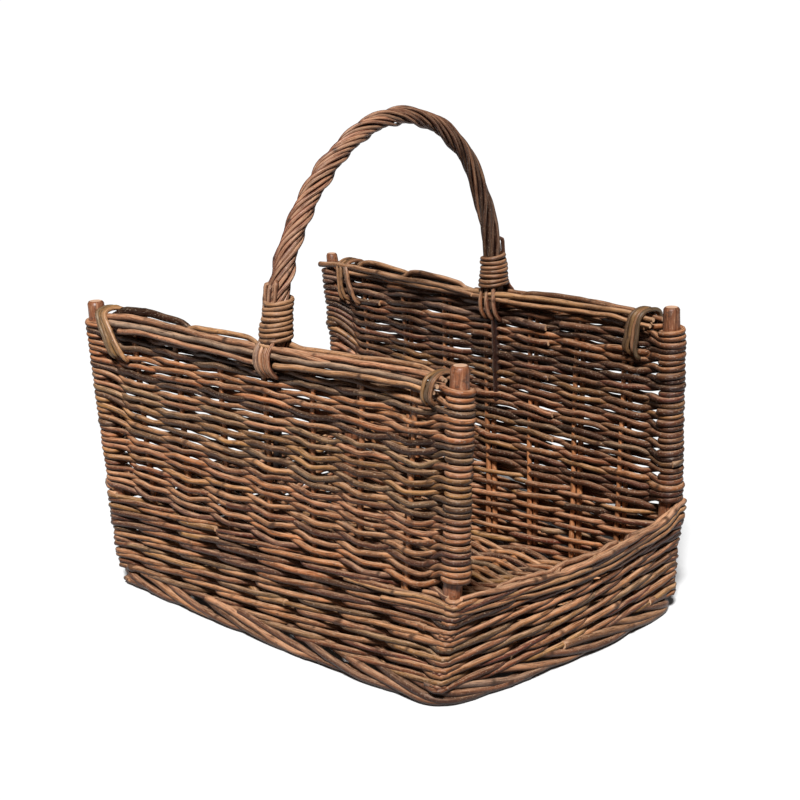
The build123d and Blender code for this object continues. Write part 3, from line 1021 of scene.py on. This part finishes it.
def handleTails(name, seed):
    # strand ends that leave the binding, cross the rim's outer face and tuck in below it
    rng = np.random.default_rng(seed)
    side = panels[name][0]
    topZ = bindingLook[name]["low"]
    start = legCentre(side, np.array([topZ + 0.012]))[0]
    rods = []
    for highY, lowY, width, kind in tailPlans:
        outX = abs(rimPlace(name, [rimLook["legShare"]], 0.0178, -0.010, 0.0062)[0, 0])
        points = [
            (side * (abs(start[0]) + 0.009), highY * 0.8, topZ + 0.014),
            (side * (abs(start[0]) + 0.0125), highY, topZ + 0.001),
            (side * (outX - 0.002), highY, topZ - 0.008),
            (side * outX, (highY + lowY) / 2, topZ - 0.018),
            (side * (outX - 0.001), lowY, topZ - 0.027),
            (side * (outX - 0.011), lowY, topZ - 0.036),
        ]
        line = rounded(np.array(points) + [0, handleY, 0], 0.0035)
        rods.append(rod(rng, line, width, barkKinds[kind], lean=(side, 0, 0.3), sides=10))
    for y, width in innerTails:
        points = [
            (side * (abs(start[0]) - 0.0085), y, topZ + 0.012),
            (side * (abs(start[0]) - 0.0105), y * 1.2, topZ - 0.006),
            (side * (abs(start[0]) - 0.0125), y * 1.4, topZ - 0.020),
            (side * (abs(start[0]) - 0.0085), y * 1.5, topZ - 0.034),
            (side * (abs(start[0]) - 0.0010), y * 1.5, topZ - 0.040),
        ]
        line = rounded(np.array(points) + [0, handleY, 0], 0.0035)
        rods.append(rod(rng, line, width, pickTone(rng, "handle"), lean=(-side, 0, 0.3), sides=10))
    return rods


# Corner posts.

postLooks = {
    "front_left": {"tone": (0.03, 0.54, 0.0), "topTaper": 0.06},
    "front_right": {"tone": (0.05, 0.46, 0.1), "topTaper": 0.06},
    "back_left": {"tone": (0.04, 0.52, 0.05), "topTaper": 0.06},
    "back_right": {"tone": (0.06, 0.48, 0.05), "topTaper": 0.30},
}


def postRod(corner, seed):
    rng = np.random.default_rng(seed)
    axis = posts[corner]
    path = rounded(axis, 0.009, 3)
    along = distance(path)
    path[1:-1, 0] += wander(rng, along, 0.0003)[1:-1]
    width = 2 * postRadius * (0.985 + wander(rng, along, 0.010, 0.15))
    width[along < 0.13] *= 0.98
    width *= 1 - postLooks[corner]["topTaper"] * smooth((along - along[-1] + 0.034) / 0.034)
    chamfer = path[-1:] + [[0, 0, 0.0016]]
    path[-1, 2] -= 0.0004
    path = np.concatenate([path, chamfer])
    path[-2:, 2] -= 0.0018
    width = np.append(width, width[-1] * 0.84)
    return [rod(rng, path, width, postLooks[corner]["tone"], lean=(0, 1, 0), sides=20, knotEvery=0.12)]


# Base: sticks from side to side and rods woven through them.

baseLook = {"stickWidth": 0.009, "rodWidth": 0.0070, "pitch": 0.0082, "swing": 0.0052, "spread": 0.008}


def baseSticks(seed):
    rng = np.random.default_rng(seed)
    low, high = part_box("base_sticks")
    z = (low.z + high.z) / 2
    half = (high.z - low.z) / 2
    places = np.linspace(low.y + half, high.y - half, 7)
    rods = []
    for y in places:
        path = evenly(np.array([[low.x, y, z], [high.x, y, z]]), 0.012)
        path[:, 1] += wander(rng, distance(path), 0.0012)
        rods.append(rod(rng, path, baseLook["stickWidth"], pickTone(rng, "foot"), sides=10))
    return rods, places, z


def baseWeave(places, z, seed):
    # rods from front to back that pass over one stick and under the next
    rng = np.random.default_rng(seed)
    low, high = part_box("base_weave")
    # the mat spreads a little past the straight foot lines, as the walls bulge away from it
    left, right = low.x - baseLook["spread"], high.x + baseLook["spread"]
    count = int((right - left) / baseLook["pitch"])
    rods = []
    for number in range(count):
        x = left + (number + 0.5) * (right - left) / count
        frontShare = np.array([(right - x) / (right - left)])
        reach = -wallShift(np.array([3]), frontShare, np.array([z]))[0, 1]
        y = np.linspace(low.y - reach, high.y + baseLook["spread"], 90)
        station = np.interp(y, places, np.arange(7.0), left=-0.5, right=6.5)
        lift = baseLook["swing"] * np.cos(math.pi * (station + number))
        line = np.stack([x + wander(rng, y, 0.0008), y, z + lift], -1)
        rng.choice((-1, 1))  # these rods have no taper to turn round, but the draw keeps its place
        rods.append(rod(rng, evenly(line, 0.0075), baseLook["rodWidth"], pickTone(rng, "band"), sides=8))
    return rods


# Materials.

def srgb(r, g, b):
    # linear colour of a colour given in 0 to 255
    c = np.array([r, g, b]) / 255
    return (*np.where(c <= 0.04045, c / 12.92, ((c + 0.055) / 1.055) ** 2.4).tolist(), 1.0)


def newGroup(name, inputs, outputs):
    group = bpy.data.node_groups.new(name, "ShaderNodeTree")
    for label, kind, value in inputs:
        socket = group.interface.new_socket(label, in_out="INPUT", socket_type=kind)
        socket.default_value = value
    for label, kind in outputs:
        group.interface.new_socket(label, in_out="OUTPUT", socket_type=kind)
    return group


class Nodes:
    # short ways to add and join shader nodes
    def __init__(self, tree):
        self.tree = tree

    def add(self, kind, **values):
        node = self.tree.nodes.new(kind)
        for key, value in values.items():
            setattr(node, key, value)
        return node

    def join(self, source, target):
        self.tree.links.new(source, target)

    def feed(self, socket, value):
        if isinstance(value, bpy.types.NodeSocket):
            self.join(value, socket)
        else:
            socket.default_value = value

    def math(self, operation, a, b=0.0, clamp=False):
        node = self.add("ShaderNodeMath", operation=operation, use_clamp=clamp)
        self.feed(node.inputs[0], a)
        self.feed(node.inputs[1], b)
        return node.outputs[0]

    def mix(self, share, a, b, blend="MIX"):
        node = self.add("ShaderNodeMix", data_type="RGBA", blend_type=blend)
        self.feed(node.inputs[0], share)
        self.feed(node.inputs[6], a)
        self.feed(node.inputs[7], b)
        return node.outputs[2]

    def stretch(self, value, low, high, toLow=0.0, toHigh=1.0):
        node = self.add("ShaderNodeMapRange", clamp=True)
        for socket, number in zip(node.inputs, (value, low, high, toLow, toHigh)):
            self.feed(socket, number)
        return node.outputs[0]

    def noise(self, vector, scale, detail=2.0, rough=0.5):
        node = self.add("ShaderNodeTexNoise")
        self.join(vector, node.inputs["Vector"])
        node.inputs["Scale"].default_value = scale
        node.inputs["Detail"].default_value = detail
        node.inputs["Roughness"].default_value = rough
        return node.outputs["Fac"]


barkStains = {
    "deepRed": (0.060, 0.018, 0.008, 1),
    "dullBrown": (0.075, 0.027, 0.013, 1),
    "wornGrey": (0.44, 0.31, 0.23, 1),
    "darkStreak": (0.038, 0.012, 0.006, 1),
    "paleStreak": (0.66, 0.37, 0.21, 1),
    "scar": (0.05, 0.025, 0.015, 1),
    "fleck": (0.55, 0.44, 0.33, 1),
    # the next two are painted light: shade under each rod and a highlight on its top
    "underside": (0.018, 0.005, 0.003, 1),
    "paintedTopLight": (0.74, 0.45, 0.27, 1),
    "knot": (0.035, 0.016, 0.010, 1),
    "ring": (0.25, 0.13, 0.07, 1),
}


def barkGroup():
    # bark along a rod: blotches, lengthwise streaks, flecks, dark knots and pale cut ends, with a painted
    # highlight on each rod's top and painted shade on its underside
    group = newGroup(
        "willowBark",
        (("Color", "NodeSocketColor", (0.4, 0.2, 0.1, 1)), ("Blotch", "NodeSocketFloat", 0.5),
         ("Fleck", "NodeSocketFloat", 0.5), ("Painted Light", "NodeSocketFloat", 0.5),
         ("Cut Color", "NodeSocketColor", (0.6, 0.42, 0.25, 1))),
        (("Color", "NodeSocketColor"), ("Roughness", "NodeSocketFloat"), ("Height", "NodeSocketFloat")),
    )
    n = Nodes(group)
    stain = barkStains
    given = n.add("NodeGroupInput").outputs
    result = n.add("NodeGroupOutput").inputs
    space = n.add("ShaderNodeAttribute", attribute_name="rodSpace").outputs["Vector"]
    tone = n.add("ShaderNodeAttribute", attribute_name="rodTone").outputs["Color"]
    knot = n.add("ShaderNodeAttribute", attribute_name="knot").outputs["Fac"]
    cut = n.add("ShaderNodeAttribute", attribute_name="cutEnd").outputs["Fac"]
    parts = n.add("ShaderNodeSeparateColor")
    n.join(tone, parts.inputs[0])
    light, worn = parts.outputs[1], parts.outputs[2]

    def scaled(x, y, z):
        node = n.add("ShaderNodeVectorMath", operation="MULTIPLY")
        n.join(space, node.inputs[0])
        node.inputs[1].default_value = (x, y, z)
        return node.outputs[0]

    blotch = n.noise(scaled(0.7, 0.7, 26), 1.0, 3.0)
    streak = n.noise(scaled(4.2, 4.2, 55), 1.0, 3.0, 0.6)
    scar = n.noise(scaled(1.6, 1.6, 210), 1.0, 2.0)
    fleck = n.noise(scaled(3.2, 3.2, 520), 1.0, 1.0)
    lengthwise = n.noise(scaled(0.05, 0.05, 5.5), 1.0, 1.0)
    shade = n.stretch(light, 0, 1, 0.05, 1.16)
    color = n.mix(1.0, given["Color"], shade, "MULTIPLY")
    color = n.mix(n.stretch(lengthwise, 0.35, 0.68, 0, 0.55), color, stain["deepRed"])
    dull = n.math("MULTIPLY", n.stretch(blotch, 0.46, 0.62), given["Blotch"])
    color = n.mix(dull, color, stain["dullBrown"])
    pale = n.math("MULTIPLY", n.stretch(blotch, 0.44, 0.30), worn)
    color = n.mix(n.math("MULTIPLY", pale, 0.55), color, stain["wornGrey"])
    color = n.mix(n.stretch(streak, 0.5, 0.68, 0, 0.75), color, stain["darkStreak"])
    bright = n.stretch(light, 0.0, 0.60, 0.18, 1.0)
    paleStreak = n.math("MULTIPLY", n.stretch(streak, 0.42, 0.28, 0, 0.55), bright)
    color = n.mix(paleStreak, color, stain["paleStreak"])
    color = n.mix(n.stretch(scar, 0.60, 0.68, 0, 0.6), color, stain["scar"])
    flecks = n.math("MULTIPLY", n.stretch(fleck, 0.62, 0.70), given["Fleck"])
    color = n.mix(flecks, color, stain["fleck"])
    # painted highlight on top and painted shade underneath, by the sine of the angle round the rod
    apart = n.add("ShaderNodeSeparateXYZ")
    n.join(space, apart.inputs[0])
    # below is the painted shade on the rod's underside
    below = n.math("MULTIPLY", n.stretch(apart.outputs[1], 0.42, -0.55, 0, 1), given["Painted Light"])
    # the painted highlight on the rod's top, weaker on darker rods and broken by the streaks
    paintedTop = n.math("MULTIPLY", n.stretch(apart.outputs[1], 0.30, 0.95, 0, 0.80), given["Painted Light"])
    paintedTop = n.math("MULTIPLY", n.math("MULTIPLY", paintedTop, bright), n.stretch(streak, 0.62, 0.38))
    color = n.mix(below, color, stain["underside"])
    color = n.mix(paintedTop, color, stain["paintedTopLight"])
    color = n.mix(n.stretch(knot, 0.25, 0.8, 0, 0.8), color, stain["knot"])
    ringing = n.noise(scaled(0.3, 0.3, 900), 1.0, 1.0)
    wood = n.mix(n.stretch(ringing, 0.4, 0.6, 0, 0.25), given["Cut Color"], stain["ring"])
    color = n.mix(cut, color, wood)
    n.join(color, result["Color"])
    gloss = n.stretch(blotch, 0.3, 0.7, 0.32, 0.52)
    n.join(n.math("ADD", gloss, n.math("MULTIPLY", worn, 0.12)), result["Roughness"])
    height = n.math("ADD", n.math("MULTIPLY", streak, 0.6), n.math("MULTIPLY", scar, 0.5))
    height = n.math("ADD", height, n.math("MULTIPLY", flecks, 0.25))
    n.join(height, result["Height"])
    return group


willow = barkGroup()

# Colours of bark from the light tan of a peeled rod to black, as places on the ramp.
barkRamp = (
    (0.00, (196, 116, 68)), (0.12, (206, 136, 82)), (0.22, (198, 146, 80)), (0.34, (208, 138, 98)),
    (0.47, (146, 74, 42)), (0.60, (142, 118, 80)), (0.72, (160, 138, 120)), (0.84, (128, 40, 28)),
    (0.92, (62, 50, 46)), (1.00, (30, 29, 33)),
)


def willowMaterial(name, settings):
    material = bpy.data.materials.new(name)
    material.use_nodes = True
    n = Nodes(material.node_tree)
    shader = material.node_tree.nodes["Principled BSDF"]
    tone = n.add("ShaderNodeAttribute", attribute_name="rodTone").outputs["Color"]
    parts = n.add("ShaderNodeSeparateColor")
    n.join(tone, parts.inputs[0])
    ramp = n.add("ShaderNodeValToRGB")
    elements = ramp.color_ramp.elements
    for number, (place, color) in enumerate(barkRamp):
        element = elements[number] if number < 2 else elements.new(place)
        element.position = place
        element.color = srgb(*color)
    n.join(parts.outputs[0], ramp.inputs[0])
    tinted = n.mix(settings["tintShare"], ramp.outputs[0], settings["tint"])
    bark = n.add("ShaderNodeGroup", node_tree=willow)
    n.join(tinted, bark.inputs["Color"])
    bark.inputs["Blotch"].default_value = settings["blotch"]
    bark.inputs["Fleck"].default_value = settings["fleck"]
    # share of painted highlight on the rods' tops and painted shade under them
    bark.inputs["Painted Light"].default_value = settings["under"]
    bark.inputs["Cut Color"].default_value = settings["cut"]
    n.join(bark.outputs["Color"], shader.inputs["Base Color"])
    n.join(bark.outputs["Roughness"], shader.inputs["Roughness"])
    bump = n.add("ShaderNodeBump")
    bump.inputs["Strength"].default_value = settings["bump"]
    bump.inputs["Distance"].default_value = 0.0009
    n.join(bark.outputs["Height"], bump.inputs["Height"])
    n.join(bump.outputs["Normal"], shader.inputs["Normal"])
    shader.inputs["Specular IOR Level"].default_value = settings["gloss"]
    return material


materialLooks = {
    "post_wood": {
        "tint": srgb(182, 116, 82), "tintShare": 0.75, "cut": srgb(232, 188, 156),
        "blotch": 0.30, "fleck": 0.15, "under": 0.0, "bump": 0.35, "gloss": 0.4,
    },
    "stake_willow": {
        "tint": srgb(206, 146, 100), "tintShare": 0.35, "cut": srgb(220, 176, 130),
        "blotch": 0.35, "fleck": 0.3, "under": 0.0, "bump": 0.4, "gloss": 0.45,
    },
    "weave_willow": {
        "tint": srgb(180, 112, 74), "tintShare": 0.15, "cut": srgb(214, 170, 132),
        "blotch": 0.60, "fleck": 0.5, "under": 0.90, "bump": 0.7, "gloss": 0.22,
    },
    "border_willow": {
        "tint": srgb(196, 154, 122), "tintShare": 0.25, "cut": srgb(226, 184, 146),
        "blotch": 0.50, "fleck": 0.4, "under": 0.80, "bump": 0.6, "gloss": 0.25,
    },
    "tie_willow": {
        "tint": srgb(176, 146, 104), "tintShare": 0.35, "cut": srgb(214, 180, 130),
        "blotch": 0.40, "fleck": 0.2, "under": 0.0, "bump": 0.5, "gloss": 0.45,
    },
    "handle_willow": {
        "tint": srgb(142, 62, 46), "tintShare": 0.35, "cut": srgb(206, 160, 124),
        "blotch": 0.45, "fleck": 0.4, "under": 0.9, "bump": 0.7, "gloss": 0.30,
    },
}
materials = {name: willowMaterial(name, settings) for name, settings in materialLooks.items()}
print("materials made")


# Making the pieces. Every piece has its own seed.

for seed, corner in enumerate(corners):
    title = corner.split("_")[0] + corner.split("_")[1].title()
    newPiece(title + "Post", postRod(corner, 11 + seed), "post_wood", [corner + "_post"])
    newPiece(title + "Tie", tieStrands(corner, 21 + seed), "tie_willow", [corner + "_tie"])
print("posts and ties made")

for seed, name in enumerate(panels):
    newPiece(name + "PanelStakes", panelStakes(name, 31 + seed), "stake_willow", [name + "_panel_stakes"])
    newPiece(name + "PanelWeave", panelWeave(name, 41 + seed), "weave_willow", [name + "_panel_weave"])
    newPiece(name + "RimRods", rimRods(name, 51 + seed), "border_willow", [name + "_rim_rods"])
    newPiece(name + "HandleBinding", handleBinding(name, 61 + seed), "handle_willow",
             [name + "_handle_binding"], finish="border_willow")
    newPiece(name + "HandleTails", handleTails(name, 71 + seed), "handle_willow", [name + "_handle_tails"])
print("panels made")

bandNodes = [wall + "_band_wall" for wall in ("left", "right", "front", "back")]
for seed, numbers in enumerate(((0, 1), (2, 3), (4, 5), (6,))):
    newPiece(f"bandWeave{seed + 1}", bandCourses(numbers, 81 + seed), "weave_willow", bandNodes)
for wall, rods in footRods(91).items():
    newPiece(wall + "FootBorder", rods, "border_willow", [wall + "_foot_border"])
for seed, end in enumerate(("front", "back")):
    newPiece(end + "WallStakes", wallStakes(end, 101 + seed), "stake_willow", [end + "_wall_stakes"])
    newPiece(end + "BorderRods", borderRods(end, 111 + seed), "border_willow", [end + "_border_rods"])
sticks, stickPlaces, stickZ = baseSticks(121)
newPiece("baseSticks", sticks, "stake_willow", ["base_sticks"])
newPiece("baseWeave", baseWeave(stickPlaces, stickZ, 122), "weave_willow", ["base_weave"])
print("band, borders and base made")

newPiece("handleStrands", handleStrands(131), "handle_willow", ["handle_twist"])
newPiece("handleCore", handleCore(132), "handle_willow", ["handle_core"])
print("handle made")


# Floor, light and camera.

def stageFloor(size=60.0):
    mesh = bpy.data.meshes.new("floor")
    half = size / 2
    edges = ((-half, -half, 0), (half, -half, 0), (half, half, 0), (-half, half, 0))
    mesh.from_pydata(edges, [], [(0, 1, 2, 3)])
    floor = bpy.data.objects.new("floor", mesh)
    bpy.context.scene.collection.objects.link(floor)
    material = bpy.data.materials.new("palePaper")
    material.use_nodes = True
    shader = material.node_tree.nodes["Principled BSDF"]
    shader.inputs["Base Color"].default_value = (0.93, 0.93, 0.93, 1)
    shader.inputs["Roughness"].default_value = 0.9
    mesh.materials.append(material)
    floor.visible_diffuse = False  # no bounce from below, so that the gaps stay dark


lightLook = {"sky": 0.05, "sun": 4.8, "sunSpread": 9.0, "from": (-0.74, -0.60, 1.02)}


def studioLight(look):
    scene = bpy.context.scene
    world = bpy.data.worlds.new("softSky")
    world.use_nodes = True
    world.node_tree.nodes["Background"].inputs[0].default_value = (1, 1, 1, 1)
    world.node_tree.nodes["Background"].inputs[1].default_value = look["sky"]
    scene.world = world
    sun = bpy.data.lights.new("softSun", "SUN")
    sun.energy = look["sun"]
    sun.angle = math.radians(look["sunSpread"])
    lamp = bpy.data.objects.new("softSun", sun)
    lamp.rotation_mode = "QUATERNION"
    lamp.rotation_quaternion = Vector(look["from"]).to_track_quat("Z", "Y")
    scene.collection.objects.link(lamp)
    scene.view_settings.view_transform = "Standard"


cameraLook = {
    "place": (-1.4161, -1.45175, 0.79345),
    "turn": -44.834,
    "rise": 15.464,
    "roll": -1.08,
    "lens": 83.69,
}


def studioCamera(look):
    turn, rise, roll = (math.radians(look[key]) for key in ("turn", "rise", "roll"))
    back = Vector((math.sin(turn) * math.cos(rise), -math.cos(turn) * math.cos(rise), math.sin(rise)))
    right = (-back).cross(Vector((0, 0, 1))).normalized()
    up = right.cross(-back)
    tilted = right * math.cos(roll) + up * math.sin(roll)
    upright = up * math.cos(roll) - right * math.sin(roll)
    data = bpy.data.cameras.new("studioCamera")
    data.lens = look["lens"]
    data.sensor_width = 36
    data.clip_end = 100
    camera = bpy.data.objects.new("studioCamera", data)
    axes = Matrix((tilted, upright, back)).transposed().to_4x4()
    camera.matrix_world = Matrix.Translation(look["place"]) @ axes
    bpy.context.scene.collection.objects.link(camera)
    bpy.context.scene.camera = camera


stageFloor()
studioLight(lightLook)
studioCamera(cameraLook)
print("floor, light and camera ready")
